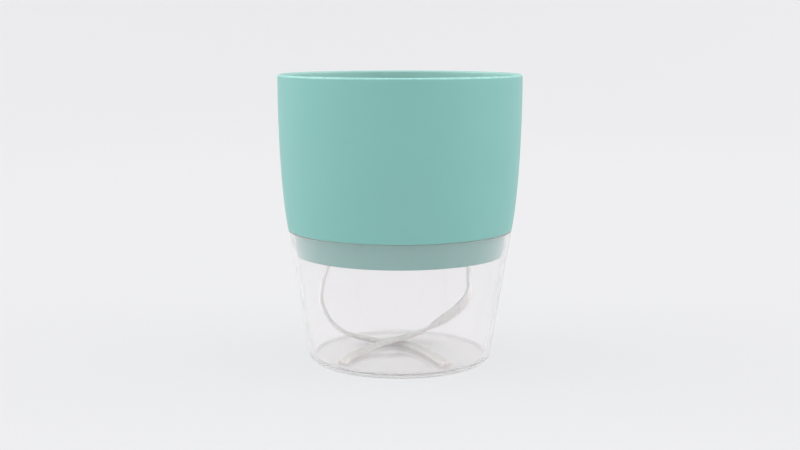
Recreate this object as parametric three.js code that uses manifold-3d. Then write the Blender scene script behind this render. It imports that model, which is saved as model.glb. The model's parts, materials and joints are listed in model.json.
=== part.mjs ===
// A self-watering plant pot: a satin plastic pot that stands on the rim of a clear plastic water vessel.
// One flat cotton wick is threaded through two holes in the pot's floor, and its ends lie in the water.
// Millimetres, +Z up. The origin is the middle of the ring that the vessel stands on.
import * as THREE from "three";
import { mergeVertices } from "three/addons/utils/BufferGeometryUtils.js";
import Module from "manifold-3d";

// Outline that the pot and the vessel share
const HEIGHT = 154;
const RIM_RADIUS = 65;
const JOINT_HEIGHT = 71.8;
const JOINT_RADIUS = 60.4;
const BASE_RADIUS = 48.8; // where the vessel's straight side would meet the table

// Clear vessel
const VESSEL_WALL = 2.2;
const VESSEL_FLOOR_TOP = 2.3;
const HEEL_REACH = 2.6; // how far the rounding of the outer heel reaches along the side and the foot
const INNER_HEEL_REACH = 2.4;
const FOOT_RECESS_DEPTH = 0.5; // the foot is domed by this much in the middle
const FOOT_RING_RADIUS = 42; // inner edge of the ring that stands on the table
const VESSEL_RIM_ROUNDING = 0.8;

// Pot
const POT_WALL = 2.4;
const POT_FLOOR_UNDERSIDE = 58.2;
const POT_FLOOR = 2.2;
const SHOULDER_ROUNDING = 0.5;
const SPIGOT_EDGE_ROUNDING = 1.2;
const POT_INNER_ROUNDING = 4;
const WAIST_HEIGHT = 76.8; // where the inside starts to draw in to the spigot

// Wick and the holes that it is threaded through
const WICK_WIDTH = 6.5;
const WICK_THICKNESS = 2.6;
const HOLE_RADIUS = 4;
const HOLE_FROM_CENTRE = 36;
const LYING_HEIGHT = 9; // below this the wick's width is level
const HANGING_HEIGHT = 20; // above this its width points into the depth
const RIGHT_ROLL = 1.15; // radians by which the right end turns its broad side out, where it swings in
const ROLL_HEIGHTS = [10, 19, 27, 43]; // the roll starts, is full, starts to go and is gone
const TAIL_STEPS = 30;
const BRIDGE_STEPS = 20;

// Clearances
const SEAT_GAP = 0.3; // pot's shoulder above the vessel's rim
const SPIGOT_GAP = 0.35; // spigot inside the vessel's wall
const WICK_GAP = 0.35;

const TURNING_SEGMENTS = 64;
const HOLE_SEGMENTS = 32;
const CURVE_POINTS = 3; // points along a small rounding
const FLANK_POINTS = 10; // points along the pot's curved side

// Worked out from the sizes above
const taper = (JOINT_RADIUS - BASE_RADIUS) / JOINT_HEIGHT;
const vesselRimHeight = JOINT_HEIGHT - SEAT_GAP;
const potFloorTop = POT_FLOOR_UNDERSIDE + POT_FLOOR;
const wickRest = VESSEL_FLOOR_TOP + WICK_GAP + WICK_THICKNESS / 2;
const bridgeRest = potFloorTop + WICK_GAP + WICK_THICKNESS / 2;
const holeMiddle = POT_FLOOR_UNDERSIDE + POT_FLOOR / 2;

const potPlastic = new THREE.MeshStandardMaterial({ color: 0x85b7b0, roughness: 0.45, metalness: 0 });
const clearPlastic = new THREE.MeshStandardMaterial({
  color: 0xeef3f3,
  roughness: 0.06,
  metalness: 0,
  transparent: true,
  opacity: 0.3,
});
const cotton = new THREE.MeshStandardMaterial({ color: 0xf3f0eb, roughness: 0.95, metalness: 0 });

// The vessel's outer radius at a height, on its straight side.
function sideRadius(height) {
  return BASE_RADIUS + taper * height;
}

// Carries an outline on to a corner and rounds the corner off, over a reach before it and after it.
function roundCorner(outline, corner, next, reach) {
  const before = outline.currentPoint;
  const towards = new THREE.Vector2().subVectors(corner, before).setLength(reach);
  const onwards = new THREE.Vector2().subVectors(next, corner).setLength(reach);
  const start = corner.clone().sub(towards);
  const end = corner.clone().add(onwards);
  outline.lineTo(start.x, start.y);
  outline.quadraticCurveTo(corner.x, corner.y, end.x, end.y);
}

// Follows corners, each a [radius, height, reach of its rounding], and a sharp corner where the reach is 0.
function followCorners(outline, corners) {
  corners.forEach(([radius, height, reach], i) => {
    if (reach && i + 1 < corners.length) {
      const corner = new THREE.Vector2(radius, height);
      const next = new THREE.Vector2(corners[i + 1][0], corners[i + 1][1]);
      roundCorner(outline, corner, next, reach);
    } else {
      outline.lineTo(radius, height);
    }
  });
}

// A solid of revolution about +Z, from an outline of [radius, height] that starts and ends on the axis.
function turned(points) {
  const geometry = new THREE.LatheGeometry(points, TURNING_SEGMENTS);
  return geometry.rotateX(Math.PI / 2);
}

// The cup-shaped clear vessel: a foot ring round a shallow dome, a rounded heel, a straight flaring side.
function vesselGeometry() {
  const outline = new THREE.Path();
  outline.moveTo(0, FOOT_RECESS_DEPTH);
  outline.quadraticCurveTo(FOOT_RING_RADIUS / 2, FOOT_RECESS_DEPTH, FOOT_RING_RADIUS, 0);
  followCorners(outline, [
    [BASE_RADIUS, 0, HEEL_REACH],
    [sideRadius(vesselRimHeight), vesselRimHeight, VESSEL_RIM_ROUNDING],
    [sideRadius(vesselRimHeight) - VESSEL_WALL, vesselRimHeight, VESSEL_RIM_ROUNDING],
    [sideRadius(VESSEL_FLOOR_TOP) - VESSEL_WALL, VESSEL_FLOOR_TOP, INNER_HEEL_REACH],
    [0, VESSEL_FLOOR_TOP, 0],
  ]);
  return turned(outline.getPoints(CURVE_POINTS));
}

// The pot's outline: floor, spigot, shoulder, curved side, rounded lip, and the inside down to the floor.
function potOutline() {
  const spigotTop = sideRadius(JOINT_HEIGHT) - VESSEL_WALL - SPIGOT_GAP;
  const spigotFoot = sideRadius(POT_FLOOR_UNDERSIDE) - VESSEL_WALL - SPIGOT_GAP;
  const lip = POT_WALL / 2;
  const lipHeight = HEIGHT - lip;
  const bendHeight = JOINT_HEIGHT + (RIM_RADIUS - JOINT_RADIUS) / taper;
  const flankFoot = JOINT_HEIGHT + SHOULDER_ROUNDING;
  const flankStart = new THREE.Vector2(sideRadius(flankFoot), flankFoot);
  const innerRim = RIM_RADIUS - POT_WALL;
  const waist = sideRadius(WAIST_HEIGHT) - POT_WALL;

  const below = new THREE.Path();
  below.moveTo(0, POT_FLOOR_UNDERSIDE);
  followCorners(below, [
    [spigotFoot, POT_FLOOR_UNDERSIDE, SPIGOT_EDGE_ROUNDING],
    [spigotTop, JOINT_HEIGHT, 0],
    [JOINT_RADIUS, JOINT_HEIGHT, SHOULDER_ROUNDING],
    [flankStart.x, flankStart.y, 0],
  ]);

  const flank = new THREE.QuadraticBezierCurve(
    flankStart,
    new THREE.Vector2(RIM_RADIUS, bendHeight),
    new THREE.Vector2(RIM_RADIUS, lipHeight),
  );
  const lipArc = new THREE.EllipseCurve(RIM_RADIUS - lip, lipHeight, lip, lip, 0, Math.PI);
  const innerFlank = new THREE.QuadraticBezierCurve(
    new THREE.Vector2(innerRim, lipHeight),
    new THREE.Vector2(innerRim, bendHeight),
    new THREE.Vector2(waist, WAIST_HEIGHT),
  );

  const inside = new THREE.Path();
  inside.moveTo(waist, WAIST_HEIGHT);
  followCorners(inside, [
    [spigotTop - POT_FLOOR, JOINT_HEIGHT, 0],
    [spigotFoot - POT_FLOOR, potFloorTop, POT_INNER_ROUNDING],
    [0, potFloorTop, 0],
  ]);
  return [
    ...below.getPoints(CURVE_POINTS),
    ...flank.getPoints(FLANK_POINTS).slice(1),
    ...lipArc.getPoints(2 * CURVE_POINTS).slice(1),
    ...innerFlank.getPoints(FLANK_POINTS).slice(1),
    ...inside.getPoints(CURVE_POINTS).slice(1),
  ];
}

const wasm = await Module();
wasm.setup();

// A closed geometry as a solid that can be cut.
function solidOf(geometry) {
  const bare = geometry.clone();
  bare.deleteAttribute("normal");
  bare.deleteAttribute("uv");
  const merged = mergeVertices(bare);
  return new wasm.Manifold(
    new wasm.Mesh({
      numProp: 3,
      vertProperties: merged.attributes.position.array,
      triVerts: new Uint32Array(merged.index.array),
    }),
  );
}

// A solid back as a geometry.
function geometryOf(solid) {
  const mesh = solid.getMesh();
  const geometry = new THREE.BufferGeometry();
  geometry.setAttribute("position", new THREE.BufferAttribute(mesh.vertProperties, mesh.numProp));
  geometry.setIndex(new THREE.BufferAttribute(mesh.triVerts, 1));
  return geometry;
}

// The pot with the two wick holes cut through its floor.
function potGeometry() {
  let pot = solidOf(turned(potOutline()));
  for (const side of [-1, 1]) {
    const drill = new THREE.CylinderGeometry(HOLE_RADIUS, HOLE_RADIUS, 3 * POT_FLOOR, HOLE_SEGMENTS);
    drill.rotateX(Math.PI / 2);
    drill.translate(side * HOLE_FROM_CENTRE, 0, holeMiddle);
    pot = pot.subtract(solidOf(drill));
  }
  return geometryOf(pot);
}

// The wick's flat section, eight-sided, with its width along the first axis.
function wickSection() {
  const halfWidth = WICK_WIDTH / 2;
  const halfThickness = WICK_THICKNESS / 2;
  const flat = 0.72 * halfWidth;
  const edge = 0.4 * halfThickness;
  const quarter = [
    [halfWidth, edge],
    [flat, halfThickness],
  ];
  const upper = [...quarter, ...quarter.map(([x, y]) => [-x, y]).reverse()];
  const lower = upper.map(([x, y]) => [x, -y]).reverse();
  return new THREE.Shape([...upper, ...lower].map(([x, y]) => new THREE.Vector2(x, y)));
}

// A wick's route. Hanging, the flat section's width points into the depth, square to the run.
// Lying, its width is level. A roll turns the section about the run between two heights.
class WickRoute extends THREE.CatmullRomCurve3 {
  constructor(points, roll) {
    super(points);
    this.roll = roll;
  }

  computeFrenetFrames(segments, closed) {
    const { smoothstep } = THREE.MathUtils;
    const [start, full, ease, gone] = ROLL_HEIGHTS;
    const frames = super.computeFrenetFrames(segments, closed);
    frames.tangents.forEach((run, i) => {
      const height = this.getPointAt(i / segments).z;
      const lying = 1 - smoothstep(height, LYING_HEIGHT, HANGING_HEIGHT);
      const rolled = smoothstep(height, start, full) * (1 - smoothstep(height, ease, gone));
      const deep = new THREE.Vector3(0, 1, 0).projectOnPlane(run).normalize();
      const level = new THREE.Vector3(0, 0, Math.sign(run.x)).cross(run).normalize();
      const width = deep.lerp(level, lying).normalize().applyAxisAngle(run, this.roll * rolled);
      frames.normals[i].copy(width);
      frames.binormals[i].crossVectors(run, width);
    });
    return frames;
  }
}

// A stretch of wick along a route.
function wickGeometry(route, steps, roll = 0) {
  const points = route.map((point) => new THREE.Vector3(...point));
  const extrudePath = new WickRoute(points, roll);
  return new THREE.ExtrudeGeometry(wickSection(), { steps, extrudePath });
}

// Left end of the wick: bows out under its hole, sweeps in over the floor and ends at the front right.
const leftTailRoute = [
  [-HOLE_FROM_CENTRE, 0, holeMiddle - WICK_GAP / 2],
  [-36.3, 0, 55.4],
  [-39, 0.3, 50.5],
  [-41.4, 1, 44],
  [-42.9, 2, 37.5],
  [-43.5, 3, 31.7],
  [-42.5, 5, 26],
  [-39.5, 8.5, 18.9],
  [-35.5, 11.5, 13.6],
  [-30.4, 14.5, 9.6],
  [-24, 17, 6.8],
  [-15.5, 18.4, 4.8],
  [-5.6, 17, wickRest],
  [3.6, 11, wickRest],
  [10.4, 1.8, wickRest],
  [16.4, -11, wickRest],
  [21, -23, wickRest],
  [24.4, -33, wickRest],
];

// Right end: hangs straight, bends in, passes over the left end in a low hump and ends at the front left.
const rightTailRoute = [
  [HOLE_FROM_CENTRE, 0, holeMiddle - WICK_GAP / 2],
  [36.3, 0, 55.4],
  [37.2, 0, 50.5],
  [37.6, 0.2, 43.5],
  [37.7, 1, 36.8],
  [36.7, 2.4, 32.2],
  [34.1, 4.5, 27.8],
  [30.4, 7.4, 23.3],
  [25, 10.4, 18.8],
  [18, 13.2, 13.8],
  [10.6, 14.6, 9.9],
  [3.2, 13.4, 7.7],
  [-4.6, 8.4, 6.8],
  [-12.3, 2.8, 5.4],
  [-18.8, -3.6, 4.4],
  [-24.6, -12, wickRest],
  [-28.2, -20.5, wickRest],
  [-30, -28, wickRest],
];

// The stretch inside the pot: up through one hole, along the pot's floor and down through the other hole.
const halfBridge = [
  [-HOLE_FROM_CENTRE, 0, holeMiddle + WICK_GAP / 2],
  [-35.9, 0, bridgeRest - 0.25],
  [-34.4, 0, bridgeRest + 2.55],
  [-31, 0, bridgeRest + 3.75],
  [-26.5, 0, bridgeRest + 2.85],
  [-20.5, 0, bridgeRest + 0.7],
  [-12, 0, bridgeRest + 0.1],
];
const otherHalf = halfBridge.map(([x, y, z]) => [-x, y, z]).reverse();
const bridgeRoute = [...halfBridge, [0, 0, bridgeRest], ...otherHalf];

function part(name, geometry, material) {
  const mesh = new THREE.Mesh(geometry, material);
  mesh.name = name;
  return mesh;
}

const selfWateringPot = new THREE.Group();
selfWateringPot.add(
  part("reservoir", vesselGeometry(), clearPlastic),
  part("pot", potGeometry(), potPlastic),
  part("wick_bridge", wickGeometry(bridgeRoute, BRIDGE_STEPS), cotton),
  part("wick_tail_left", wickGeometry(leftTailRoute, TAIL_STEPS), cotton),
  part("wick_tail_right", wickGeometry(rightTailRoute, TAIL_STEPS, RIGHT_ROLL), cotton),
);

export default selfWateringPot;
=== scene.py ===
"""Looks of a self-watering plant pot: a satin pot on a clear water vessel, with a flat braided cotton wick.

Everything is in metres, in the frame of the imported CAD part: +Z is up, the wick's holes lie along X and the
viewer is at -Y.
"""

import json
import math

import bmesh
import bpy
import numpy as np
from bpy.props import FloatProperty, FloatVectorProperty, IntProperty, PointerProperty
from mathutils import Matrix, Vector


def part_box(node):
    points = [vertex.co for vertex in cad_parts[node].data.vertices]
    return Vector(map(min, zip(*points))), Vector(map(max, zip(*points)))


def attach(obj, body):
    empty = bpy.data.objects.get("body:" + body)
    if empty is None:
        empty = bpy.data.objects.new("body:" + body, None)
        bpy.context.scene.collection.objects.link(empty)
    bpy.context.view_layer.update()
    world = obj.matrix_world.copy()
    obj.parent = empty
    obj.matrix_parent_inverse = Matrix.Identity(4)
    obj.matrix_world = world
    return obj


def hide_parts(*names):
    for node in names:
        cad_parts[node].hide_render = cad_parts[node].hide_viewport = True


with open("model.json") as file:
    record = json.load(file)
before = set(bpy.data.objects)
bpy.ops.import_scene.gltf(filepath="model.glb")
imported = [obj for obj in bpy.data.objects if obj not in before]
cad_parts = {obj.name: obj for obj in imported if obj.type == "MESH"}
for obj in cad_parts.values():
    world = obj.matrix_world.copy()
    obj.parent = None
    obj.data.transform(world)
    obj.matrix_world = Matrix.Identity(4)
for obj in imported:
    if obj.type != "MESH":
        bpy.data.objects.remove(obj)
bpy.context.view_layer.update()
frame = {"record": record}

bl_info = {
    "name": "Self-Watering Pot",
    "version": (1, 0, 0),
    "blender": (4, 5, 0),
    "location": "View3D > Sidebar > Pot",
    "description": "Builds a satin plant pot on a clear water vessel, with its braided wick",
    "category": "Object",
}

SLOT_COLOURS = {row["slot"]: row["base_color"][:3] for row in frame["record"]["materials"]}

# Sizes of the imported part, to a micrometre
DECIMALS = 6
RESERVOIR_TOP = round(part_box("reservoir")[1].z, DECIMALS)
POT_UNDERSIDE = round(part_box("pot")[0].z, DECIMALS)
POT_TOP = round(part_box("pot")[1].z, DECIMALS)
POT_RADIUS = round(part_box("pot")[1].x, DECIMALS)

# Room between the vessel's rim and the pot's shoulder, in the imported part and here
CAD_SEAT_GAP = 0.0003
SEAT_GAP = 0.0002

# Sizes that the wick's routes share with the settings
VESSEL_FLOOR_TOP = 0.0023
POT_FLOOR = 0.0022
HOLE_FROM_CENTRE = 0.036
WICK_THICKNESS = 0.0026
WICK_GAP = 0.00035
HOLE_MIDDLE = POT_UNDERSIDE + POT_FLOOR / 2
WICK_REST = VESSEL_FLOOR_TOP + WICK_GAP + WICK_THICKNESS / 2
BRIDGE_REST = POT_UNDERSIDE + POT_FLOOR + WICK_GAP + WICK_THICKNESS / 2

# Wick routes: the ends go down from a hole to the vessel's floor, and half of the bridge goes up out of one
LEFT_TAIL_ROUTE = [
    (-HOLE_FROM_CENTRE, 0.0, HOLE_MIDDLE - WICK_GAP / 2),
    (-0.0363, 0.0, 0.0554),
    (-0.0390, 0.0003, 0.0505),
    (-0.0414, 0.0010, 0.0440),
    (-0.0429, 0.0020, 0.0375),
    (-0.0435, 0.0030, 0.0317),
    (-0.0425, 0.0050, 0.0260),
    (-0.0395, 0.0085, 0.0189),
    (-0.0355, 0.0115, 0.0136),
    (-0.0304, 0.0145, 0.0096),
    (-0.0240, 0.0170, 0.0068),
    (-0.0155, 0.0184, 0.0048),
    (-0.0056, 0.0170, WICK_REST),
    (0.0036, 0.0110, WICK_REST),
    (0.0104, 0.0018, WICK_REST),
    (0.0164, -0.0110, WICK_REST),
    (0.0210, -0.0230, WICK_REST),
    (0.0244, -0.0330, WICK_REST),
]
RIGHT_TAIL_ROUTE = [
    (HOLE_FROM_CENTRE, 0.0, HOLE_MIDDLE - WICK_GAP / 2),
    (0.0363, 0.0, 0.0554),
    (0.0372, 0.0, 0.0505),
    (0.0376, 0.0002, 0.0435),
    (0.0377, 0.0010, 0.0368),
    (0.0367, 0.0024, 0.0322),
    (0.0341, 0.0045, 0.0278),
    (0.0304, 0.0074, 0.0233),
    (0.0250, 0.0104, 0.0188),
    (0.0180, 0.0132, 0.0138),
    (0.0106, 0.0146, 0.0099),
    (0.0032, 0.0134, 0.0077),
    (-0.0046, 0.0084, 0.0068),
    (-0.0123, 0.0028, 0.0054),
    (-0.0188, -0.0036, 0.0044),
    (-0.0246, -0.0120, WICK_REST),
    (-0.0282, -0.0205, WICK_REST),
    (-0.0300, -0.0280, WICK_REST),
]
HALF_BRIDGE_ROUTE = [
    (-HOLE_FROM_CENTRE, 0.0, HOLE_MIDDLE + WICK_GAP / 2),
    (-0.0359, 0.0, BRIDGE_REST - 0.00025),
    (-0.0344, 0.0, BRIDGE_REST + 0.00255),
    (-0.0310, 0.0, BRIDGE_REST + 0.00375),
    (-0.0265, 0.0, BRIDGE_REST + 0.00285),
    (-0.0205, 0.0, BRIDGE_REST + 0.0007),
    (-0.0120, 0.0, BRIDGE_REST + 0.0001),
]

# Heights at which the wick turns from lying to hanging, and the roll of its right end in radians
LYING_BELOW = 0.009
HANGING_ABOVE = 0.020
RIGHT_ROLL = 1.15
ROLL_RISES = (0.010, 0.019)
ROLL_FADES = (0.027, 0.043)

# Yarns: their turns at the braid's edge, their plies, slubs and ends, and the range of a random phase
EDGE_SHARPNESS = 0.94
SIDE_CHANGE = 3
PLIES = 3
PLY_DEPTH = 0.09
PLY_TWIST = 0.0042
SLUB_DEPTH = 0.03
SLUB_LENGTH = 0.0037
YARN_END_ROUNDING = 0.0005
RANDOM_PHASE = 6

# Frayed cut ends
UNEVEN_CUT = 0.0016
FRAY_SPREAD = 0.12
FRAY_FLATTENING = 0.5
FRAY_STRAY = 0.0003
FRAY_SWELLING = 0.25

# Fibres that stand off the yarns. A lean of 1 is half a right angle, and a bend is a share of the length.
FUZZ_SPACING = 0.00035
FUZZ_FROM_ENDS = 8
FUZZ_LENGTHS = (0.0004, 0.0013)
FUZZ_LEAN = 1.2
FUZZ_BEND = 0.6
FUZZ_RADIUS = 0.000022

# Fibres that fan out of each cut yarn. Their root and aim are counted in rings from the yarn's end.
TUFT_FIBRES = 26
TUFT_ROOT = 4
TUFT_AIM = 12
TUFT_SCATTER = 0.0003
TUFT_SPREAD = 0.22
TUFT_LENGTHS = (0.0006, 0.0018)
TUFT_BEND = 0.4
TUFT_RADIUS = 0.00003
FIBRE_CLEARANCE = 0.00004
FIBRE_TONES = (0.3, 1)

# The yarns' own texture map: units to a metre of yarn and units round it
MAP_PER_METRE = 1000
MAP_ROUND = 4.0

# Fineness of the meshes
TURNING_SEGMENTS = 256
CORNER_STEPS = 8
LONG_STRETCH = 0.0025
SUPPORT_REACH = 0.00015
FLANK_STEPS = 48
DOME_STEPS = 40
LIP_STEPS = 16
FLOOR_ROWS = 10
DIAMETER_POINTS = 48
SPLINE_STEPS = 40
YARN_STEP = 0.0003
YARN_SIDES = 14
FIBRE_ROWS = 5
FIBRE_SIDES = 3
MERGE_DISTANCE = 1e-6
SMOOTH_UP_TO = math.radians(32)

# Stage: a floor that is flat and then sweeps up, and how the light gathers at the sides and above
FLOOR_LEVEL = -0.0001
FLOOR_RADIUS = 1.5
SWEEP_RADIUS = 2.3
SWEEP_HEIGHT = 0.8
SWEEP_STEPS = 24
SIDE_LIGHT = (0.5, 1.0)
TOP_LIGHT = (0.1, 1.0)

# Clear plastic: features to a metre, the depth of its waves and its roughness
PLASTIC_IOR = 1.49
SMEARS_PER_METRE = 38
SCUFFS_PER_METRE = 900
WAVES_PER_METRE = 28
WAVE_DEPTH = 0.00004
CLEAR_ROUGHNESS = 0.012
SMEAR_ROUGHNESS = 0.03
FROST_ROUGHNESS = 0.42
SCUFF_ROUGHNESS = 0.05

# Its frosted heel, with heights as shares of the heel's rounding, and its floor greyed by painted shade
FROST_HEIGHTS = (0.6, 1.2)
FROST_BLUR = 0.0007
FLOOR_FADE = (0.0005, 0.006)
FACING_UP = (0.3, 0.8)

# Satin plastic: features to a metre, the depth of its grain and its roughness
GRAINS_PER_METRE = 2600
GRAIN_DEPTH = 0.00002
DRIFTS_PER_METRE = 26
DRIFT_TONES = (0.97, 1.03)
SATIN_ROUGHNESS = 0.36
DRIFT_ROUGHNESS = 0.08
GRAIN_ROUGHNESS = 0.06

# Its lip's painted highlight and its spigot's painted shade, with ranges of outwardness, and the roughness
# that they take off
HIGHLIGHT_PATCHES_PER_METRE = 420
HIGHLIGHT_AT_LEAST = 0.6
HIGHLIGHT_SHARE = 0.8
OUTER_LIP = (-0.01, 0.02)
FACING_OUT = (0.0, 0.03)
SPIGOT_SHADE_FADE = 0.001
HIGHLIGHT_GLOSS = 0.1
SPIGOT_SHADE_GLOSS = 0.06

# Cotton: how its fibres lie on a yarn, features to a millimetre of yarn, its tones, darkening low down and
# roughness
FIBRE_TURN = (0, 0, 0.45)
FIBRE_STRETCH = (0.35, 2.6, 1)
FIBRES_PER_MM = 9
FIBRE_DEPTH = 0.00006
FLECKS_PER_MM = 1.3
YARN_TONES = (0.95, 1.08)
SHADE_SHARE = 0.15
SHADE_TONE = 0.72
FLECK_SHARE = 0.35
FLECK_TONE = 1.12
NEAR_FLOOR_HEIGHTS = (0.008, 0.018)
NEAR_FLOOR_WAVER = 0.006
WAVERS_PER_METRE = 160
NEAR_FLOOR_SHARE = 0.7
COTTON_ROUGHNESS = 0.82
FIBRE_ROUGHNESS = 0.16
NEAR_FLOOR_GLOSS = 0.2

UP = np.array([0.0, 0.0, 1.0])
DEEP = np.array([0.0, 1.0, 0.0])


def length_setting(name, description, default):
    """A size in metres that a user can change."""
    return FloatProperty(name=name, description=description, default=default, unit="LENGTH")


def share_setting(name, description, default):
    """A share from 0 to 1 that a user can change."""
    return FloatProperty(
        name=name, description=description, default=default, subtype="FACTOR", min=0, max=1
    )


def colour_setting(name, description, default):
    """A colour that a user can change."""
    return FloatVectorProperty(
        name=name, description=description, default=default, subtype="COLOR", min=0, max=1
    )


class OutlineSettings(bpy.types.PropertyGroup):
    """Sizes that the pot and the vessel share."""

    height: length_setting("Height", "Table to the top of the pot's lip", POT_TOP)
    rim_radius: length_setting("Rim radius", "Axis to the outside of the pot's rim", POT_RADIUS)
    joint_height: length_setting(
        "Joint height", "Table to the shoulder that the pot stands on", RESERVOIR_TOP + CAD_SEAT_GAP
    )
    joint_radius: length_setting(
        "Joint radius", "Axis to the outside where the pot meets the vessel", 0.0604
    )
    base_radius: length_setting(
        "Base radius", "Axis to where the vessel's straight side would meet the table", 0.0488
    )

    def taper(self):
        """How much the straight side widens for each metre of height."""
        return (self.joint_radius - self.base_radius) / self.joint_height

    def side_radius(self, height):
        """Outer radius of the straight side at a height."""
        return self.base_radius + self.taper() * height


class VesselSettings(bpy.types.PropertyGroup):
    """Sizes and finish of the clear water vessel."""

    wall: length_setting("Wall", "Thickness of the side", 0.0022)
    floor_top: length_setting("Floor height", "Table to the inside of the floor", VESSEL_FLOOR_TOP)
    heel_reach: length_setting("Heel rounding", "How far the outer heel's rounding reaches", 0.0026)
    inner_heel_reach: length_setting(
        "Inner heel rounding", "How far the inner heel's rounding reaches", 0.0024
    )
    ring_radius: length_setting(
        "Foot ring radius", "Inner radius of the ring that the vessel stands on", 0.042
    )
    recess_depth: length_setting(
        "Recess depth", "How far the middle of the domed foot stands above the table", 0.0005
    )
    gate_radius: length_setting(
        "Gate radius", "Radius of the mould's gate mark in the middle of the foot", 0.0012
    )
    rim_rounding: length_setting(
        "Rim rounding", "How far the rounding of the rim's edges reaches", 0.0008
    )
    haze: share_setting("Haze", "Share of light that each face scatters instead of passing it on", 0.035)
    passing: share_setting("Passing light", "Share of the light that gets in through each face", 0.985)
    tint: colour_setting("Tint", "Colour of the clear plastic", (1.0, 0.988, 0.990))
    # The floor's grey tint is painted shade: it stands in for the shadow on the table beneath the vessel
    floor_shade_tint: colour_setting(
        "Floor tint", "Colour of the clear plastic in the floor, seen nearly edge on", (0.725, 0.711, 0.703)
    )


class PotSettings(bpy.types.PropertyGroup):
    """Sizes and finish of the pot."""

    wall: length_setting("Wall", "Thickness of the side", 0.0024)
    floor: length_setting("Floor", "Thickness of the floor and of the spigot's wall", POT_FLOOR)
    spigot_gap: length_setting("Spigot gap", "Room between the spigot and the vessel's wall", 0.00035)
    shoulder_rounding: length_setting(
        "Shoulder rounding", "How far the rounding of the shoulder's edge reaches", 0.0005
    )
    spigot_rounding: length_setting(
        "Spigot rounding", "How far the rounding of the spigot's lower edge reaches", 0.0012
    )
    waist_height: length_setting(
        "Waist height", "Where the inside starts to draw in to the spigot", 0.0768
    )
    waist_rounding: length_setting(
        "Waist rounding", "How far the rounding inside reaches, where the side meets the spigot", 0.002
    )
    inner_rounding: length_setting(
        "Inner rounding", "How far the rounding round the floor inside reaches", 0.004
    )
    hole_radius: length_setting("Hole radius", "Radius of a wick hole", 0.004)
    hole_rounding: length_setting(
        "Hole rounding", "How far the rounding of a hole's edges reaches", 0.0004
    )
    colour: colour_setting("Colour", "Colour of the satin plastic", SLOT_COLOURS["pot_plastic"])
    # The inside's paler colour is painted light: it makes the inside, which gets less light, as bright as the
    # outside
    lit_inner_colour: colour_setting(
        "Inner colour", "Colour of the inside, paler where soil has left a film", (0.34, 0.59, 0.55)
    )
    # The lip's paler colour is a painted highlight along its outer edge, broken into patches
    lip_highlight_colour: colour_setting(
        "Rubbed colour", "Colour of the lip's outer edge, paler where hands rub it", (0.41, 0.775, 0.72)
    )
    # The spigot's darker tone is painted shade, for the spigot in the vessel under the pot's shoulder
    spigot_shade_tone: share_setting(
        "Damp tone", "Share of its brightness that the spigot keeps, where the vessel's air wets it", 0.76
    )


class WickSettings(bpy.types.PropertyGroup):
    """Sizes and finish of the braided wick."""

    width: length_setting("Width", "Width of the flat braid", 0.0065)
    yarns: IntProperty(name="Yarns", description="Yarns in the braid", default=7, min=3)
    repeat: length_setting("Repeat", "Length of braid in which a yarn crosses over and back", 0.014)
    yarn_half_width: length_setting(
        "Yarn half width", "Half of a yarn's width in the plane of the braid", 0.00058
    )
    yarn_half_thickness: length_setting(
        "Yarn half thickness", "Half of a yarn's thickness through the braid", 0.00066
    )
    crossing_lift: length_setting(
        "Crossing lift", "How far a yarn rises and dips where it passes another", 0.00056
    )
    fray: length_setting("Fray", "Length of a cut end over which the yarns come apart", 0.006)
    colour: colour_setting("Colour", "Colour of the undyed cotton", (0.985, 0.925, 0.915))
    # Colour of the wick below a wavering height near the vessel's floor, where it is darker
    near_floor_colour: colour_setting(
        "Damp colour", "Colour of the cotton at its ends, which the water has stained", (0.74, 0.685, 0.655)
    )


class StageSettings(bpy.types.PropertyGroup):
    """Camera, light and floor."""

    camera_distance: length_setting(
        "Camera distance", "Axis of the pot to the camera, along the table", 0.664
    )
    camera_height: length_setting("Camera height", "Table to the camera", 0.1743)
    camera_pitch: FloatProperty(
        name="Camera pitch",
        description="How far the camera looks down",
        default=math.radians(8.7),
        subtype="ANGLE",
    )
    lens: FloatProperty(name="Lens", description="Focal length in millimetres", default=55.82)
    floor_colour: colour_setting(
        "Floor colour", "Colour of the floor and the sweep behind it", (0.75, 0.75, 0.76)
    )
    floor_glow: share_setting(
        "Floor glow", "Share of the floor that shows as the plain background", 0.78
    )
    background: colour_setting("Background", "Colour of the plain background", (0.83, 0.83, 0.845))
    even_light: FloatProperty(
        name="Even light", description="Strength of the light from all round", default=0.325
    )
    left_light: FloatProperty(
        name="Left light", description="How much stronger the light is from the left", default=3.9
    )
    right_light: FloatProperty(
        name="Right light", description="How much stronger the light is from the right", default=3.1
    )
    top_light: FloatProperty(
        name="Top light", description="How much stronger the light is from above", default=0.84
    )


class Signal:
    """A node's output that can stand in a sum: each operator adds a Math node and gives its result."""

    def __init__(self, sheet, socket):
        self.sheet = sheet
        self.socket = socket

    def output(self, name):
        """Another output of the same node."""
        return Signal(self.sheet, self.socket.node.outputs[name])

    def math(self, operation, first, second):
        """The result of a Math node."""
        return self.sheet.add("ShaderNodeMath", {"operation": operation}, {0: first, 1: second})

    def __add__(self, other):
        return self.math("ADD", self, other)

    def __sub__(self, other):
        return self.math("SUBTRACT", self, other)

    def __rsub__(self, other):
        return self.math("SUBTRACT", other, self)

    def __mul__(self, other):
        return self.math("MULTIPLY", self, other)

    __radd__ = __add__
    __rmul__ = __mul__


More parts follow.
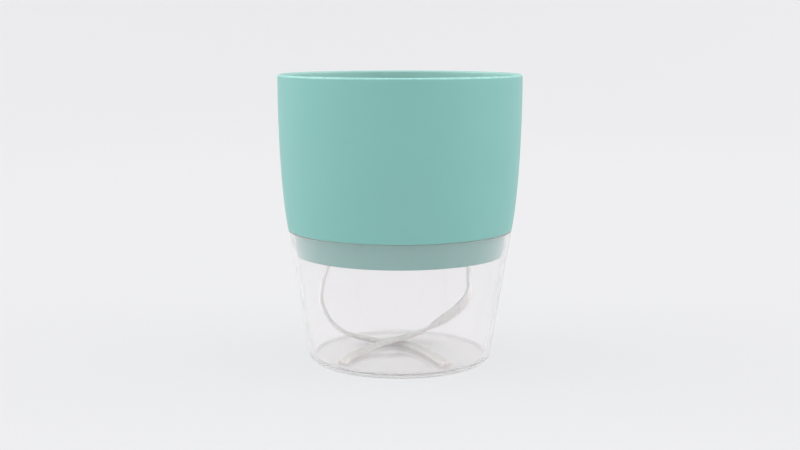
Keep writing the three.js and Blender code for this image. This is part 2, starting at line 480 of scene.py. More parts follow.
class NodeSheet:
    """A node tree under construction."""

    NODE_SPACING = 180

    def __init__(self, tree):
        self.tree = tree
        tree.nodes.clear()

    def add(self, kind, settings=None, sockets=None):
        """Adds a node, makes its settings, then fills its sockets with values or links.

        Gives the node's first output.
        """
        node = self.tree.nodes.new(kind)
        node.location.x = self.NODE_SPACING * len(self.tree.nodes)
        for name, value in (settings or {}).items():
            setattr(node, name, value)
        for name, value in (sockets or {}).items():
            if isinstance(value, Signal):
                self.tree.links.new(value.socket, node.inputs[name])
            else:
                node.inputs[name].default_value = value
        return Signal(self, node.outputs[0]) if node.outputs else None

    def place(self):
        """Where a point of the piece is."""
        return self.add("ShaderNodeTexCoord").output("Object")

    def normal(self):
        """The way that the surface faces."""
        return self.add("ShaderNodeNewGeometry").output("Normal")

    def split(self, vector):
        """The three parts of a vector."""
        parts = self.add("ShaderNodeSeparateXYZ", None, {"Vector": vector})
        return [parts.output(name) for name in "XYZ"]

    def blend(self, share, first, second):
        """A colour that goes from the first to the second as the share goes from 0 to 1."""
        sockets = {"Factor": share, 6: first, 7: second}
        return self.add("ShaderNodeMix", {"data_type": "RGBA"}, sockets).output(2)

    def mix(self, factor, first, second):
        """A shader that goes from the first to the second as the factor goes from 0 to 1."""
        return self.add("ShaderNodeMixShader", None, {0: factor, 1: first, 2: second})

    def noise(self, place, scale, detail=2.0, roughness=0.5):
        """Soft noise from 0 to 1, with so many features to a unit of the place."""
        sockets = {"Vector": place, "Scale": scale, "Detail": detail, "Roughness": roughness}
        return self.add("ShaderNodeTexNoise", None, sockets)

    def ease(self, value, low, high):
        """0 below low, 1 above high and a smooth step between them."""
        sockets = {"Value": value, "From Min": low, "From Max": high}
        return self.add("ShaderNodeMapRange", {"interpolation_type": "SMOOTHSTEP"}, sockets)

    def patches(self, place, scale, detail, low, high):
        """Soft patches: 0 where a noise is below low and 1 where it is above high."""
        return self.ease(self.noise(place, scale, detail), low, high)

    def bump(self, height, distance):
        """The normal of a surface raised by a height from 0 to 1 times a distance."""
        sockets = {"Height": height, "Distance": distance, "Strength": 1.0}
        return self.add("ShaderNodeBump", None, sockets).output("Normal")

    def finish(self, surface):
        """Ends a material with its shader."""
        self.add("ShaderNodeOutputMaterial", None, {"Surface": surface})


def opaque(colour, factor=1.0):
    """A colour with each channel times a factor, and full alpha."""
    return (*(min(1.0, channel * factor) for channel in colour), 1.0)


def new_material(name):
    """An empty node material and the sheet to build it on."""
    material = bpy.data.materials.new(name)
    material.use_nodes = True
    return material, NodeSheet(material.node_tree)


def clear_plastic_finish(vessel, base_radius):
    """Polished clear plastic: faint smears, a heel frosted by wear, painted shade on the floor, mould waves.

    The heel is what lies low and far from the axis, and the floor is what faces up near the bottom. A
    shadow ray and a bounced ray see only a tint, so that light gets in to the wick.
    """
    material, sheet = new_material("clear_plastic")
    place = sheet.place()
    x, y, height = sheet.split(place)
    upward = sheet.split(sheet.normal())[2]
    smear = sheet.patches(place, SMEARS_PER_METRE, detail=3, low=0.52, high=0.78)
    scuff = sheet.patches(place, SCUFFS_PER_METRE, detail=2, low=0.4, high=0.7)
    wave = sheet.noise(place, WAVES_PER_METRE, detail=1)
    low = 1 - sheet.ease(height, *(share * vessel.heel_reach for share in FROST_HEIGHTS))
    heel_start = base_radius - vessel.heel_reach
    far = sheet.ease(x * x + y * y, (heel_start - FROST_BLUR) ** 2, (heel_start + FROST_BLUR) ** 2)
    heel = low * far
    # Painted shade: the faces that look up near the bottom are tinted grey
    above_floor = sheet.ease(height, *(vessel.floor_top + rise for rise in FLOOR_FADE))
    shaded_floor = sheet.ease(upward, *FACING_UP) * (1 - above_floor)
    frost = heel * (FROST_ROUGHNESS + SCUFF_ROUGHNESS * scuff)
    plastic = sheet.add(
        "ShaderNodeBsdfPrincipled",
        None,
        {
            "Base Color": sheet.blend(shaded_floor, opaque(vessel.tint), opaque(vessel.floor_shade_tint)),
            "Roughness": CLEAR_ROUGHNESS + SMEAR_ROUGHNESS * smear + frost,
            "IOR": PLASTIC_IOR,
            "Transmission Weight": 1 - vessel.haze,
            "Sheen Weight": 0.4,
            "Sheen Roughness": 0.5,
            "Normal": sheet.bump(wave, WAVE_DEPTH),
        },
    )
    passed = opaque(vessel.tint, vessel.passing)
    open_to_light = sheet.add("ShaderNodeBsdfTransparent", None, {"Color": passed})
    ray = sheet.add("ShaderNodeLightPath")
    lit = sheet.mix(ray.output("Is Diffuse Ray"), plastic, open_to_light)
    sheet.finish(sheet.mix(ray.output("Is Shadow Ray"), lit, open_to_light))
    return material


def satin_plastic_finish(pot, outline):
    """Satin moulded plastic: a fine spark-eroded grain, with slow drifts of tone and gloss.

    The lip's outer edge is painted paler in patches as a painted highlight, the inside is painted paler as
    painted light and the spigot is painted darker as painted shade. A face's outwardness is its normal along
    the way from the axis, times its distance from the axis.
    """
    material, sheet = new_material("satin_plastic")
    place = sheet.place()
    x, y, height = sheet.split(place)
    facing_x, facing_y, _ = sheet.split(sheet.normal())
    outward = x * facing_x + y * facing_y
    grain = sheet.noise(place, GRAINS_PER_METRE, detail=2, roughness=0.6)
    drift = sheet.noise(place, DRIFTS_PER_METRE, detail=3)
    highlight_patches = sheet.patches(place, HIGHLIGHT_PATCHES_PER_METRE, detail=3, low=0.4, high=0.65)
    # Painted highlight on the lip's outer edge, broken into patches, with less roughness there
    lip_top = sheet.ease(height, outline.height - pot.wall / 2, outline.height - pot.wall / 8)
    lip = lip_top * sheet.ease(outward, *OUTER_LIP)
    lip_highlight = lip * (HIGHLIGHT_AT_LEAST + (1 - HIGHLIGHT_AT_LEAST) * highlight_patches)
    # Painted light: the inward faces of the pot are painted paler
    inside = sheet.ease(0 - outward, *FACING_OUT)
    # Painted shade: the spigot's outer faces below the seat are painted darker, with less roughness there
    below_seat = 1 - sheet.ease(height, outline.joint_height - SPIGOT_SHADE_FADE, outline.joint_height)
    spigot_shade = below_seat * sheet.ease(outward, *FACING_OUT)
    drifted = sheet.blend(drift, *(opaque(pot.colour, factor) for factor in DRIFT_TONES))
    inside_lit = sheet.blend(inside, drifted, opaque(pot.lit_inner_colour))
    shaded_spigot = sheet.blend(spigot_shade, inside_lit, opaque(pot.colour, pot.spigot_shade_tone))
    matt = SATIN_ROUGHNESS + DRIFT_ROUGHNESS * drift + GRAIN_ROUGHNESS * grain
    surface = sheet.add(
        "ShaderNodeBsdfPrincipled",
        None,
        {
            "Base Color": sheet.blend(HIGHLIGHT_SHARE * lip_highlight, shaded_spigot, opaque(pot.lip_highlight_colour)),
            "Roughness": matt - HIGHLIGHT_GLOSS * lip_highlight - SPIGOT_SHADE_GLOSS * spigot_shade,
            "IOR": PLASTIC_IOR,
            "Normal": sheet.bump(grain, GRAIN_DEPTH),
        },
    )
    sheet.finish(surface)
    return material


def cotton_finish(wick):
    """Undyed cotton: twisted fibres along each yarn, pale flecks, a soft sheen and a tone for each yarn.

    It is darker and less rough below a wavering height near the vessel's floor.
    """
    material, sheet = new_material("cotton")
    run = sheet.add("ShaderNodeUVMap", {"uv_map": "yarn"})
    tone = sheet.add("ShaderNodeAttribute", {"attribute_name": "yarn_tone"}).output("Fac")
    turned_run = {"Vector": run, "Rotation": FIBRE_TURN, "Scale": FIBRE_STRETCH}
    lay = sheet.add("ShaderNodeMapping", None, turned_run)
    fibres = sheet.noise(lay, FIBRES_PER_MM, detail=3, roughness=0.65)
    fleck = sheet.patches(run, FLECKS_PER_MM, detail=2, low=0.62, high=0.8)
    pale = sheet.blend(tone, *(opaque(wick.colour, factor) for factor in YARN_TONES))
    shaded = sheet.blend(SHADE_SHARE * (1 - fibres), pale, opaque(wick.colour, SHADE_TONE))
    flecked = sheet.blend(FLECK_SHARE * fleck, shaded, opaque(wick.colour, FLECK_TONE))
    place = sheet.place()
    # Darker and less rough below a wavering height near the vessel's floor
    height = sheet.split(place)[2] + NEAR_FLOOR_WAVER * sheet.noise(place, WAVERS_PER_METRE)
    near_floor = 1 - sheet.ease(height, *NEAR_FLOOR_HEIGHTS)
    surface = sheet.add(
        "ShaderNodeBsdfPrincipled",
        None,
        {
            "Base Color": sheet.blend(NEAR_FLOOR_SHARE * near_floor, flecked, opaque(wick.near_floor_colour)),
            "Roughness": COTTON_ROUGHNESS + FIBRE_ROUGHNESS * fibres - NEAR_FLOOR_GLOSS * near_floor,
            "Sheen Weight": 0.6,
            "Sheen Roughness": 0.6,
            "Normal": sheet.bump(fibres, FIBRE_DEPTH),
        },
    )
    sheet.finish(surface)
    return material


def floor_finish(stage):
    """Plain pale matt sheet.

    To the camera, and in clear or shiny pieces, part of it shows as the plain background.
    """
    material, sheet = new_material("stage_sheet")
    matt = sheet.add("ShaderNodeBsdfDiffuse", None, {"Color": opaque(stage.floor_colour)})
    plain = sheet.add("ShaderNodeEmission", None, {"Color": opaque(stage.background), "Strength": 1.0})
    ray = sheet.add("ShaderNodeLightPath")
    seen = ray.output("Is Camera Ray") + ray.output("Is Transmission Ray") + ray.output("Is Glossy Ray")
    sheet.finish(sheet.mix(stage.floor_glow * seen, matt, plain))
    return material


def unit(vectors):
    """Vectors at length 1."""
    lengths = np.linalg.norm(vectors, axis=-1, keepdims=True)
    return vectors / np.maximum(lengths, 1e-12)


def smooth_step(values, low, high):
    """0 below low, 1 above high and a cubic without kinks between them."""
    share = np.clip((values - low) / (high - low), 0, 1)
    return share * share * (3 - 2 * share)


def quadratic(start, control, end, steps):
    """Points of a quadratic curve at shares t of the way.

    The start is weighted by the square of 1 - t, the control point by 2 t (1 - t) and the end by the
    square of t.
    """
    t = np.linspace(0, 1, steps + 1)[:, None]
    start, control, end = np.asarray(start), np.asarray(control), np.asarray(end)
    return (1 - t) ** 2 * start + 2 * t * (1 - t) * control + t**2 * end


def rounded(corners):
    """An outline through corners of (radius, height, reach).

    A corner with a reach becomes a quadratic curve from that far before the corner to that far after it.
    """
    corners = np.asarray(corners)
    points = corners[:, :2]
    runs = [points[:1]]
    for before, corner, after, reach in zip(points, points[1:], points[2:], corners[1:, 2]):
        start = corner - reach * unit(corner - before)
        end = corner + reach * unit(after - corner)
        runs.append(quadratic(start, corner, end, CORNER_STEPS) if reach else corner[None])
    runs.append(points[-1:])
    return np.concatenate(runs)


def supported(outline):
    """An outline with a point close to both ends of each long straight stretch, which then shades flat."""
    starts, steps = outline[:-1], np.diff(outline, axis=0)
    lengths = np.linalg.norm(steps, axis=1)
    near = SUPPORT_REACH / np.maximum(lengths, 1e-9)
    shares = np.stack([0 * near, near, 1 - near], axis=1)
    points = starts[:, None] + shares[..., None] * steps[:, None]
    long = lengths > LONG_STRETCH
    wanted = np.stack([np.ones_like(long), long, long], axis=1)
    return np.concatenate([points[wanted], outline[-1:]])


def turned(outline):
    """A surface of revolution, as a grid of one tube.

    A point of (radius, height) goes to radius cos a, radius sin a and height at each angle a.
    """
    angle = np.arange(TURNING_SEGMENTS) * 2 * np.pi / TURNING_SEGMENTS
    radius, height = outline[:, :1], outline[:, 1:]
    level = height + 0 * angle
    return np.stack([radius * np.cos(angle), radius * np.sin(angle), level], axis=-1)[None]


def sewn(grids):
    """The points and quads of grids of rings.

    Each grid is (tubes, rings, points round a ring, 3), and a ring closes on itself.
    """
    points, quads, first = [], [], 0
    for grid in grids:
        tubes, rings, around = grid.shape[:3]
        tube = np.arange(tubes)[:, None, None] * rings * around
        ring = np.arange(rings - 1)[None, :, None] * around
        column = np.arange(around)
        after = (column + 1) % around
        start = first + tube + ring
        corners = [start + column, start + after, start + around + after, start + around + column]
        points.append(grid.reshape(-1, 3))
        quads.append(np.stack(corners, axis=-1).reshape(-1, 4))
        first += tubes * rings * around
    return np.concatenate(points), np.concatenate(quads)


def new_piece(name, points, quads, material, corner_uv=None, tone=None):
    """An object at the origin with a closed, outward-facing, smooth mesh."""
    mesh = bpy.data.meshes.new(name)
    mesh.vertices.add(len(points))
    mesh.vertices.foreach_set("co", points.astype(np.float32).ravel())
    mesh.loops.add(quads.size)
    mesh.loops.foreach_set("vertex_index", quads.astype(np.int32).ravel())
    mesh.polygons.add(len(quads))
    mesh.polygons.foreach_set("loop_start", np.arange(0, quads.size, 4, dtype=np.int32))
    if corner_uv is not None:
        yarn_map = mesh.uv_layers.new(name="yarn")
        yarn_map.data.foreach_set("uv", corner_uv.astype(np.float32).ravel())
    if tone is not None:
        yarn_tone = mesh.attributes.new("yarn_tone", "FLOAT", "POINT")
        yarn_tone.data.foreach_set("value", tone.astype(np.float32))
    mesh.update(calc_edges=True)
    shell = bmesh.new()
    shell.from_mesh(mesh)
    bmesh.ops.remove_doubles(shell, verts=shell.verts, dist=MERGE_DISTANCE)
    bmesh.ops.recalc_face_normals(shell, faces=shell.faces)
    shell.to_mesh(mesh)
    shell.free()
    mesh.shade_smooth()
    mesh.set_sharp_from_angle(angle=SMOOTH_UP_TO)
    mesh.materials.append(material)
    piece = bpy.data.objects.new(name, mesh)
    bpy.context.scene.collection.objects.link(piece)
    return piece


def vessel_outline(outline, vessel):
    """The vessel's section from the axis and back to it.

    It goes by the gate mark, the domed foot, the foot ring, the heel, the side, the rim and the inside.
    The dome falls to the foot ring as a smooth step, and the gate mark hangs from its middle, clear of the
    table.
    """
    rim_height = outline.joint_height - SEAT_GAP
    rim_radius = outline.side_radius(rim_height)
    inner_base = outline.side_radius(vessel.floor_top) - vessel.wall
    gate_height = 0.7 * vessel.recess_depth
    gate_edge = 1.4 * vessel.gate_radius
    gate_rounding = 0.3 * vessel.gate_radius
    dome_start = 2 * gate_edge
    gate = rounded(
        [
            (0, gate_height, 0),
            (vessel.gate_radius, gate_height, gate_rounding),
            (gate_edge, vessel.recess_depth, gate_rounding),
            (dome_start, vessel.recess_depth, 0),
        ]
    )
    share = np.linspace(0, 1, DOME_STEPS)
    dome_radius = dome_start + share * (vessel.ring_radius - dome_start)
    dome = np.column_stack([dome_radius, vessel.recess_depth * (1 - smooth_step(share, 0, 1))])
    cup = rounded(
        [
            (vessel.ring_radius, 0, 0),
            (outline.base_radius, 0, vessel.heel_reach),
            (rim_radius, rim_height, vessel.rim_rounding),
            (rim_radius - vessel.wall, rim_height, vessel.rim_rounding),
            (inner_base, vessel.floor_top, vessel.inner_heel_reach),
            (0, vessel.floor_top, 0),
        ]
    )
    return np.concatenate([gate, dome[1:-1], cup])


def pot_outline(outline, vessel, pot):
    """The pot's section without its floor.

    It goes from the underside's edge up the spigot, out along the shoulder, up the side, over the lip and
    down the inside to the floor. The side is a quadratic curve that starts along the vessel's taper and
    ends upright, and the lip is a half circle.
    """
    floor_top = POT_UNDERSIDE + pot.floor
    inset = vessel.wall + pot.spigot_gap
    spigot_top = outline.side_radius(outline.joint_height) - inset
    spigot_foot = outline.side_radius(POT_UNDERSIDE) - inset
    flank_foot = outline.joint_height + pot.shoulder_rounding
    lip = pot.wall / 2
    lip_height = outline.height - lip
    bend_height = outline.joint_height + (outline.rim_radius - outline.joint_radius) / outline.taper()
    inner_rim = outline.rim_radius - pot.wall
    waist = outline.side_radius(pot.waist_height) - pot.wall
    below = rounded(
        [
            (0, POT_UNDERSIDE, 0),
            (spigot_foot, POT_UNDERSIDE, pot.spigot_rounding),
            (spigot_top, outline.joint_height, 0),
            (outline.joint_radius, outline.joint_height, pot.shoulder_rounding),
            (outline.side_radius(flank_foot), flank_foot, 0),
        ]
    )[1:]
    flank = quadratic(
        (outline.side_radius(flank_foot), flank_foot),
        (outline.rim_radius, bend_height),
        (outline.rim_radius, lip_height),
        FLANK_STEPS,
    )[1:]
    turn = np.linspace(0, np.pi, LIP_STEPS + 1)[1:]
    lip_middle = outline.rim_radius - lip
    lip_arc = np.column_stack([lip_middle + lip * np.cos(turn), lip_height + lip * np.sin(turn)])
    inner_flank = quadratic(
        (inner_rim, lip_height), (inner_rim, bend_height), (waist, pot.waist_height), FLANK_STEPS
    )[1:]
    inside = rounded(
        [
            (waist, pot.waist_height, 0),
            (spigot_top - pot.floor, outline.joint_height, pot.waist_rounding),
            (spigot_foot - pot.floor, floor_top, pot.inner_rounding),
            (0, floor_top, 0),
        ]
    )[1:-1]
    return np.concatenate([below, flank, lip_arc, inner_flank, inside])


def half_floor(side, upper_ring, lower_ring, pot):
    """Half of the pot's floor as rings round its wick hole, as a grid of one tube.

    The rings start on the half disc's edge, which is an arc and the diameter, close in on the hole across
    the floor's top, go down the rounded hole and open out again across the underside. A ring's points are
    shares of the way from the edge to the hole.
    """
    quarter = TURNING_SEGMENTS // 4
    angle = np.arange(-quarter, quarter + 1) * 2 * np.pi / TURNING_SEGMENTS
    across = np.linspace(1, -1, DIAMETER_POINTS + 2)[1:-1]
    arc = np.column_stack([np.cos(angle), np.sin(angle)])
    diameter = np.column_stack([0 * across, across])
    edge = np.concatenate([arc, diameter])
    middle = np.array([HOLE_FROM_CENTRE, 0])
    spoke = unit(upper_ring[0] * edge - middle)
    share = np.linspace(0, 1, FLOOR_ROWS + 1)[:, None, None]
    lip_radius = pot.hole_radius + pot.hole_rounding
    lip_ring = middle + lip_radius * spoke
    top = (1 - share) * upper_ring[0] * edge + share * lip_ring
    under = (1 - share) * lip_ring + share * lower_ring[0] * edge
    bore = rounded(
        [
            (lip_radius, upper_ring[1], 0),
            (pot.hole_radius, upper_ring[1], pot.hole_rounding),
            (pot.hole_radius, lower_ring[1], pot.hole_rounding),
            (lip_radius, lower_ring[1], 0),
        ]
    )[2:-2]
    wall = middle + bore[:, :1, None] * spoke
    plan = np.concatenate([top, wall, under])
    top_level = np.full(FLOOR_ROWS + 1, upper_ring[1])
    under_level = np.full(FLOOR_ROWS + 1, lower_ring[1])
    level = np.concatenate([top_level, bore[:, 1], under_level])
    levels = np.repeat(level[:, None, None], len(edge), axis=1)
    return np.concatenate([plan * (side, 1), levels], axis=-1)[None]


def spline(points):
    """A smooth curve through points, as the CAD's: a centripetal Catmull-Rom spline.

    Each span is a cubic with given slopes at its ends. A slope adds the speeds along the two chords that
    meet there and takes off the speed from neighbour to neighbour, where a chord takes the root of its
    length in time.
    """
    points = np.asarray(points)
    chain = np.concatenate([[2 * points[0] - points[1]], points, [2 * points[-1] - points[-2]]])
    chords = np.diff(chain, axis=0)
    times = np.sqrt(np.linalg.norm(chords, axis=1))[:, None]
    speeds = chords / times
    slopes = speeds[:-1] + speeds[1:] - (chain[2:] - chain[:-2]) / (times[:-1] + times[1:])
    span = times[1:-1, None]
    leave, arrive = slopes[:-1, None] * span, slopes[1:, None] * span
    start, end = points[:-1, None], points[1:, None]
    t = np.linspace(0, 1, SPLINE_STEPS, endpoint=False)[None, :, None]
    held = (2 * t**3 - 3 * t**2 + 1) * start + (3 * t**2 - 2 * t**3) * end
    swung = (t**3 - 2 * t**2 + t) * leave + (t**3 - t**2) * arrive
    return np.concatenate([(held + swung).reshape(-1, 3), points[-1:]])


def lengths_along(curve):
    """How far along a curve each of its points lies."""
    return np.concatenate([[0], np.cumsum(np.linalg.norm(np.diff(curve, axis=0), axis=1))])


def sampled(vectors, distances, wanted):
    """Vectors that are known at distances along a line, at other distances along it."""
    return np.stack([np.interp(wanted, distances, part) for part in vectors.T], axis=-1)


def wick_line(route):
    """Points along a wick's route, a yarn's step apart."""
    curve = spline(route)
    distances = lengths_along(curve)
    count = int(round(distances[-1] / YARN_STEP)) + 1
    return sampled(curve, distances, np.linspace(0, distances[-1], count))


def no_roll(line):
    """No turn about the wick's run."""
    return np.zeros(len(line))


def broad_side_out(line):
    """The turn about its run that shows the right end's broad side where it swings in over the floor."""
    height = line[:, 2]
    return RIGHT_ROLL * smooth_step(height, *ROLL_RISES) * (1 - smooth_step(height, *ROLL_FADES))


def wick_directions(line, roll):
    """The direction of the wick's width, and the way that its broad side faces, along a line.

    Hanging, the width points into the depth, square to the run. Lying, it is level. A roll turns it about
    the run.
    """
    run = unit(np.gradient(line, axis=0))
    deep = unit(DEEP - (run @ DEEP)[:, None] * run)
    level = unit(np.cross(UP, run) * np.sign(run[:, :1]))
    lying = 1 - smooth_step(line[:, 2:], LYING_BELOW, HANGING_ABOVE)
    width = unit((1 - lying) * deep + lying * level)
    face = np.cross(run, width)
    width = np.cos(roll)[:, None] * width + np.sin(roll)[:, None] * face
    return width, np.cross(run, width)


def yarn_lines(line, roll, wick, frayed, rng):
    """The middle lines of a flat braid's yarns along a line.

    A yarn's place across the braid is a triangle wave with rounded turns, each yarn one share of the
    repeat later than the last. It rises and dips as a cosine with a period for each yarn it meets, and the
    sign changes on the way back, so two yarns that meet are on opposite sides. At a cut end the yarns
    spread, flatten and stray. Gives also how far along each point lies, how loose it is and the way that
    the braid's broad side faces.
    """
    distances = lengths_along(line)
    total = distances[-1]
    steps = int(round(total / YARN_STEP))
    short = rng.uniform(0, UNEVEN_CUT, wick.yarns) if frayed else np.zeros(wick.yarns)
    along = np.linspace(0, 1, steps + 1) * (total - short)[:, None]
    width_way, face_way = (sampled(way, distances, along) for way in wick_directions(line, roll))
    phase = along / wick.repeat + np.arange(wick.yarns)[:, None] / wick.yarns
    turn = 2 * np.pi * phase
    reach = wick.width / 2 - wick.yarn_half_width
    across = reach * np.arcsin(EDGE_SHARPNESS * np.cos(turn)) / np.arcsin(EDGE_SHARPNESS)
    lift = wick.crossing_lift * np.cos(wick.yarns * turn) * np.tanh(SIDE_CHANGE * np.sin(turn))
    loose = smooth_step(along, total - wick.fray, total) if frayed else 0 * along
    stray = rng.normal(0, 1, (2, wick.yarns, 1))
    across = across * (1 + FRAY_SPREAD * loose) + FRAY_STRAY * loose * stray[0]
    lift = lift * (1 - FRAY_FLATTENING * loose) + FRAY_STRAY * loose * np.abs(stray[1])
    middle = sampled(line, distances, along)
    centre = middle + across[..., None] * width_way + lift[..., None] * face_way
    return centre, along, loose, face_way


def yarn_rings(centre, along, loose, face_way, wick, rng):
    """Rings round the middle lines of yarns.

    A ring is an ellipse with a lobe for each ply, and the lobes turn about the yarn as it goes. A slow
    sine swells and thins the yarn, a loose end is thicker, and a quarter circle rounds off both ends.
    """
    heading = unit(np.gradient(centre, axis=1))
    side = unit(np.cross(heading, face_way))
    top = np.cross(side, heading)
    angle = np.arange(YARN_SIDES) * 2 * np.pi / YARN_SIDES
    twist = 2 * np.pi * along / PLY_TWIST + rng.uniform(0, RANDOM_PHASE, (wick.yarns, 1))
    lobes = 1 + PLY_DEPTH * np.cos(PLIES * angle - twist[..., None])
    from_end = np.minimum(along, along[:, -1:] - along)
    to_full_size = 1 - np.clip(from_end / YARN_END_ROUNDING, 0, 1)
    taper = np.sqrt(np.clip(1 - to_full_size**2, 0, 1))
    slub = np.sin(along / SLUB_LENGTH + rng.uniform(0, RANDOM_PHASE, (wick.yarns, 1)))
    swell = (1 + FRAY_SWELLING * loose) * (1 + SLUB_DEPTH * slub)
    size = (taper * swell)[..., None] * lobes
    sideways = (wick.yarn_half_width * size * np.cos(angle))[..., None] * side[:, :, None]
    upwards = (wick.yarn_half_thickness * size * np.sin(angle))[..., None] * top[:, :, None]
    return centre[:, :, None] + sideways + upwards


def fibres(roots, ways, bends, radius):
    """Thin tapered fibres. Each leaves its root along its way and bends by the square of the share gone."""
    share = np.linspace(0, 1, FIBRE_ROWS)[:, None]
    centre = roots[:, None] + share * ways[:, None] + share**2 * bends[:, None]
    heading = unit(np.gradient(centre, axis=1))
    side = unit(np.cross(heading, unit(bends + 1e-9)[:, None]))
    other = np.cross(heading, side)
    angle = np.arange(FIBRE_SIDES)[:, None] * 2 * np.pi / FIBRE_SIDES
    ring = np.cos(angle) * side[:, :, None] + np.sin(angle) * other[:, :, None]
    thickness = radius * (1 - share**2)[:, :, None]
    return centre[:, :, None] + thickness * ring


def fuzz(rings, centre, length, rng):
    """Fibres that stand off the yarns: each leaves a point of a ring outwards and leans along the yarn."""
    yarns, steps, sides = rings.shape[:3]
    count = int(length / FUZZ_SPACING)
    yarn = rng.integers(0, yarns, count)
    step = rng.integers(FUZZ_FROM_ENDS, steps - FUZZ_FROM_ENDS, count)
    column = rng.integers(0, sides, count)
    roots = rings[yarn, step, column]
    outward = unit(roots - centre[yarn, step])
    heading = unit(np.gradient(centre, axis=1))[yarn, step]
    lengths = rng.uniform(*FUZZ_LENGTHS, (count, 1))
    lean = FUZZ_LEAN * heading * rng.choice([-1, 1], (count, 1))
    bends = FUZZ_BEND * lengths * rng.normal(0, 1, (count, 3))
    return fibres(roots, lengths * unit(outward + lean), bends, FUZZ_RADIUS)


def tufts(centre, rng):
    """Fibres that fan out of the cut ends of yarns, ahead along each yarn and aside by chance."""
    tips = np.repeat(centre[:, -TUFT_ROOT], TUFT_FIBRES, axis=0)
    ahead = np.repeat(unit(centre[:, -1] - centre[:, -TUFT_AIM]), TUFT_FIBRES, axis=0)
    spread = rng.normal(0, TUFT_SPREAD, tips.shape)
    lengths = rng.uniform(*TUFT_LENGTHS, (len(tips), 1))
    roots = tips + TUFT_SCATTER * rng.normal(0, 1, tips.shape)
    bends = TUFT_BEND * lengths * rng.normal(0, 1, tips.shape)
    return fibres(roots, lengths * unit(ahead + spread), bends, TUFT_RADIUS)


def yarn_uv(along, sides):
    """The texture map at the corners of the yarns' quads: the way along a yarn and the way round it."""
    column = np.arange(sides)
    start, end = along[:, :-1], along[:, 1:]
    corners = np.empty((*start.shape, sides, 4, 2))
    corners[..., 0] = MAP_PER_METRE * np.stack([start, start, end, end], axis=-1)[:, :, None]
    corners[..., 1] = MAP_ROUND * np.stack([column, column + 1, column + 1, column], axis=-1) / sides
    return corners.reshape(-1, 4, 2)


def wick_piece(name, line, roll, floor_height, material, wick, frayed, seed):
    """A stretch of braided wick along a line, with fuzz and, if it is frayed, fibres at its cut end."""
    rng = np.random.default_rng(seed)
    centre, along, loose, face_way = yarn_lines(line, roll, wick, frayed, rng)
    rings = yarn_rings(centre, along, loose, face_way, wick, rng)
    hairs = [fuzz(rings, centre, along[0, -1], rng)]
    if frayed:
        hairs.append(tufts(centre, rng))
    for hair in hairs:
        hair[..., 2] = np.maximum(hair[..., 2], floor_height + FIBRE_CLEARANCE)
    points, quads = sewn([rings, *hairs])
    on_yarns = yarn_uv(along, YARN_SIDES)
    corner_uv = np.zeros((len(quads), 4, 2))
    corner_uv[: len(on_yarns)] = on_yarns
    yarn_points = rings[0].size // 3
    tone = rng.uniform(*FIBRE_TONES, len(points))
    tone[: wick.yarns * yarn_points] = np.repeat(rng.uniform(0, 1, wick.yarns), yarn_points)
    return new_piece(name, points, quads, material, corner_uv, tone)


def new_camera(stage):
    """A camera in front of the pot that looks down on it a little."""
    camera = bpy.data.objects.new("camera", bpy.data.cameras.new("camera"))
    camera.data.lens = stage.lens
    camera.location = (0, -stage.camera_distance, stage.camera_height)
    camera.rotation_euler.x = math.pi / 2 - stage.camera_pitch
    bpy.context.scene.collection.objects.link(camera)
    return camera


def new_surroundings(stage):
    """A world that lights the pot from all round, and more from the left, the right and above.

    Each of these rises as a smooth step of a direction's part that way. To the camera and through clear
    pieces the world is the plain background.
    """
    world = bpy.data.worlds.new("surroundings")
    world.use_nodes = True
    sheet = NodeSheet(world.node_tree)
    across, _, above = sheet.split(sheet.add("ShaderNodeTexCoord").output("Generated"))
    left = stage.left_light * sheet.ease(0 - across, *SIDE_LIGHT)
    right = stage.right_light * sheet.ease(across, *SIDE_LIGHT)
    top = stage.top_light * sheet.ease(above, *TOP_LIGHT)
    strength = stage.even_light + left + right + top
    light = sheet.add("ShaderNodeBackground", None, {"Color": (1, 1, 1, 1), "Strength": strength})
    background = {"Color": opaque(stage.background), "Strength": 1.0}
    plain = sheet.add("ShaderNodeBackground", None, background)
    ray = sheet.add("ShaderNodeLightPath")
    seen = ray.output("Is Camera Ray") + ray.output("Is Transmission Ray")
    sheet.add("ShaderNodeOutputWorld", None, {"Surface": sheet.mix(seen, light, plain)})
    return world


class SELFWATERING_OT_stage(bpy.types.Operator):
    """Set the camera, the light from all round and the floor that sweeps up at its edge."""

    bl_idname = "self_watering.stage"
    bl_label = "Camera, light and floor"

    def execute(self, context):
        scene = context.scene
        stage = scene.pot_stage
        scene.camera = new_camera(stage)
        scene.world = new_surroundings(stage)
        scene.view_settings.view_transform = "Standard"
        sweep = quadratic(
            (FLOOR_RADIUS, FLOOR_LEVEL),
            (SWEEP_RADIUS, FLOOR_LEVEL),
            (SWEEP_RADIUS, SWEEP_HEIGHT),
            SWEEP_STEPS,
        )
        section = np.concatenate([[(0, FLOOR_LEVEL)], sweep])
        floor = new_piece("stage_floor", *sewn([turned(section)]), floor_finish(stage))
        return {"FINISHED"}


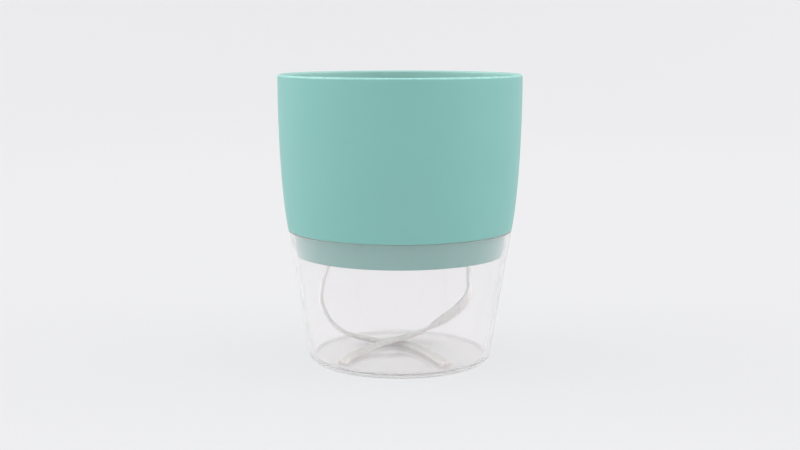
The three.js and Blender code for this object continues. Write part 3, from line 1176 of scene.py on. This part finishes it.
class SELFWATERING_OT_wick(bpy.types.Operator):
    """Braid the wick: its two ends that hang into the vessel and the stretch on the pot's floor."""

    bl_idname = "self_watering.wick"
    bl_label = "Wick"

    def execute(self, context):
        scene = context.scene
        wick = scene.pot_wick
        cotton = cotton_finish(wick)
        vessel_floor = scene.pot_vessel.floor_top
        pot_floor = POT_UNDERSIDE + scene.pot_itself.floor
        for name, route, roll_of, seed in (
            ("wick_tail_left", LEFT_TAIL_ROUTE, no_roll, 3),
            ("wick_tail_right", RIGHT_TAIL_ROUTE, broad_side_out, 5),
        ):
            line = wick_line(route)
            tail = wick_piece(
                name + "_braid", line, roll_of(line), vessel_floor, cotton, wick, frayed=True, seed=seed
            )
            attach(tail, "pot")
            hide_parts(name)
        other_half = [(-x, y, z) for x, y, z in reversed(HALF_BRIDGE_ROUTE)]
        line = wick_line([*HALF_BRIDGE_ROUTE, (0, 0, BRIDGE_REST), *other_half])
        bridge = wick_piece(
            "wick_bridge_braid", line, no_roll(line), pot_floor, cotton, wick, frayed=False, seed=7
        )
        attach(bridge, "pot")
        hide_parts("wick_bridge")
        return {"FINISHED"}


class SELFWATERING_OT_vessel(bpy.types.Operator):
    """Turn the clear vessel that holds the water."""

    bl_idname = "self_watering.vessel"
    bl_label = "Vessel"

    def execute(self, context):
        scene = context.scene
        section = vessel_outline(scene.pot_outline, scene.pot_vessel)
        finish = clear_plastic_finish(scene.pot_vessel, scene.pot_outline.base_radius)
        vessel = new_piece("vessel", *sewn([turned(supported(section))]), finish)
        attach(vessel, "reservoir")
        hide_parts("reservoir")
        return {"FINISHED"}


class SELFWATERING_OT_pot(bpy.types.Operator):
    """Turn the pot and close its floor round the two wick holes."""

    bl_idname = "self_watering.pot"
    bl_label = "Pot"

    def execute(self, context):
        scene = context.scene
        pot = scene.pot_itself
        section = pot_outline(scene.pot_outline, scene.pot_vessel, pot)
        halves = [half_floor(side, section[-1], section[0], pot) for side in (-1, 1)]
        finish = satin_plastic_finish(pot, scene.pot_outline)
        body = new_piece("pot_shell", *sewn([turned(supported(section)), *halves]), finish)
        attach(body, "pot")
        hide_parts("pot")
        return {"FINISHED"}


OPERATORS = (SELFWATERING_OT_stage, SELFWATERING_OT_wick, SELFWATERING_OT_vessel, SELFWATERING_OT_pot)
SETTINGS = {
    "pot_outline": OutlineSettings,
    "pot_vessel": VesselSettings,
    "pot_itself": PotSettings,
    "pot_wick": WickSettings,
    "pot_stage": StageSettings,
}


class SELFWATERING_PT_builder(bpy.types.Panel):
    """Lists what can be built and its settings."""

    bl_label = "Self-Watering Pot"
    bl_space_type = "VIEW_3D"
    bl_region_type = "UI"
    bl_category = "Pot"

    def draw(self, context):
        for operator in OPERATORS:
            self.layout.operator(operator.bl_idname)
        for name, group in SETTINGS.items():
            box = self.layout.box()
            for setting in group.__annotations__:
                box.prop(getattr(context.scene, name), setting)


CLASSES = (*SETTINGS.values(), *OPERATORS, SELFWATERING_PT_builder)


def register():
    for kind in CLASSES:
        bpy.utils.register_class(kind)
    for name, group in SETTINGS.items():
        setattr(bpy.types.Scene, name, PointerProperty(type=group))


def unregister():
    for name in SETTINGS:
        delattr(bpy.types.Scene, name)
    for kind in reversed(CLASSES):
        bpy.utils.unregister_class(kind)


def main():
    register()
    bpy.ops.self_watering.stage()
    bpy.ops.self_watering.wick()
    bpy.ops.self_watering.vessel()
    bpy.ops.self_watering.pot()


if __name__ == "__main__":
    main()
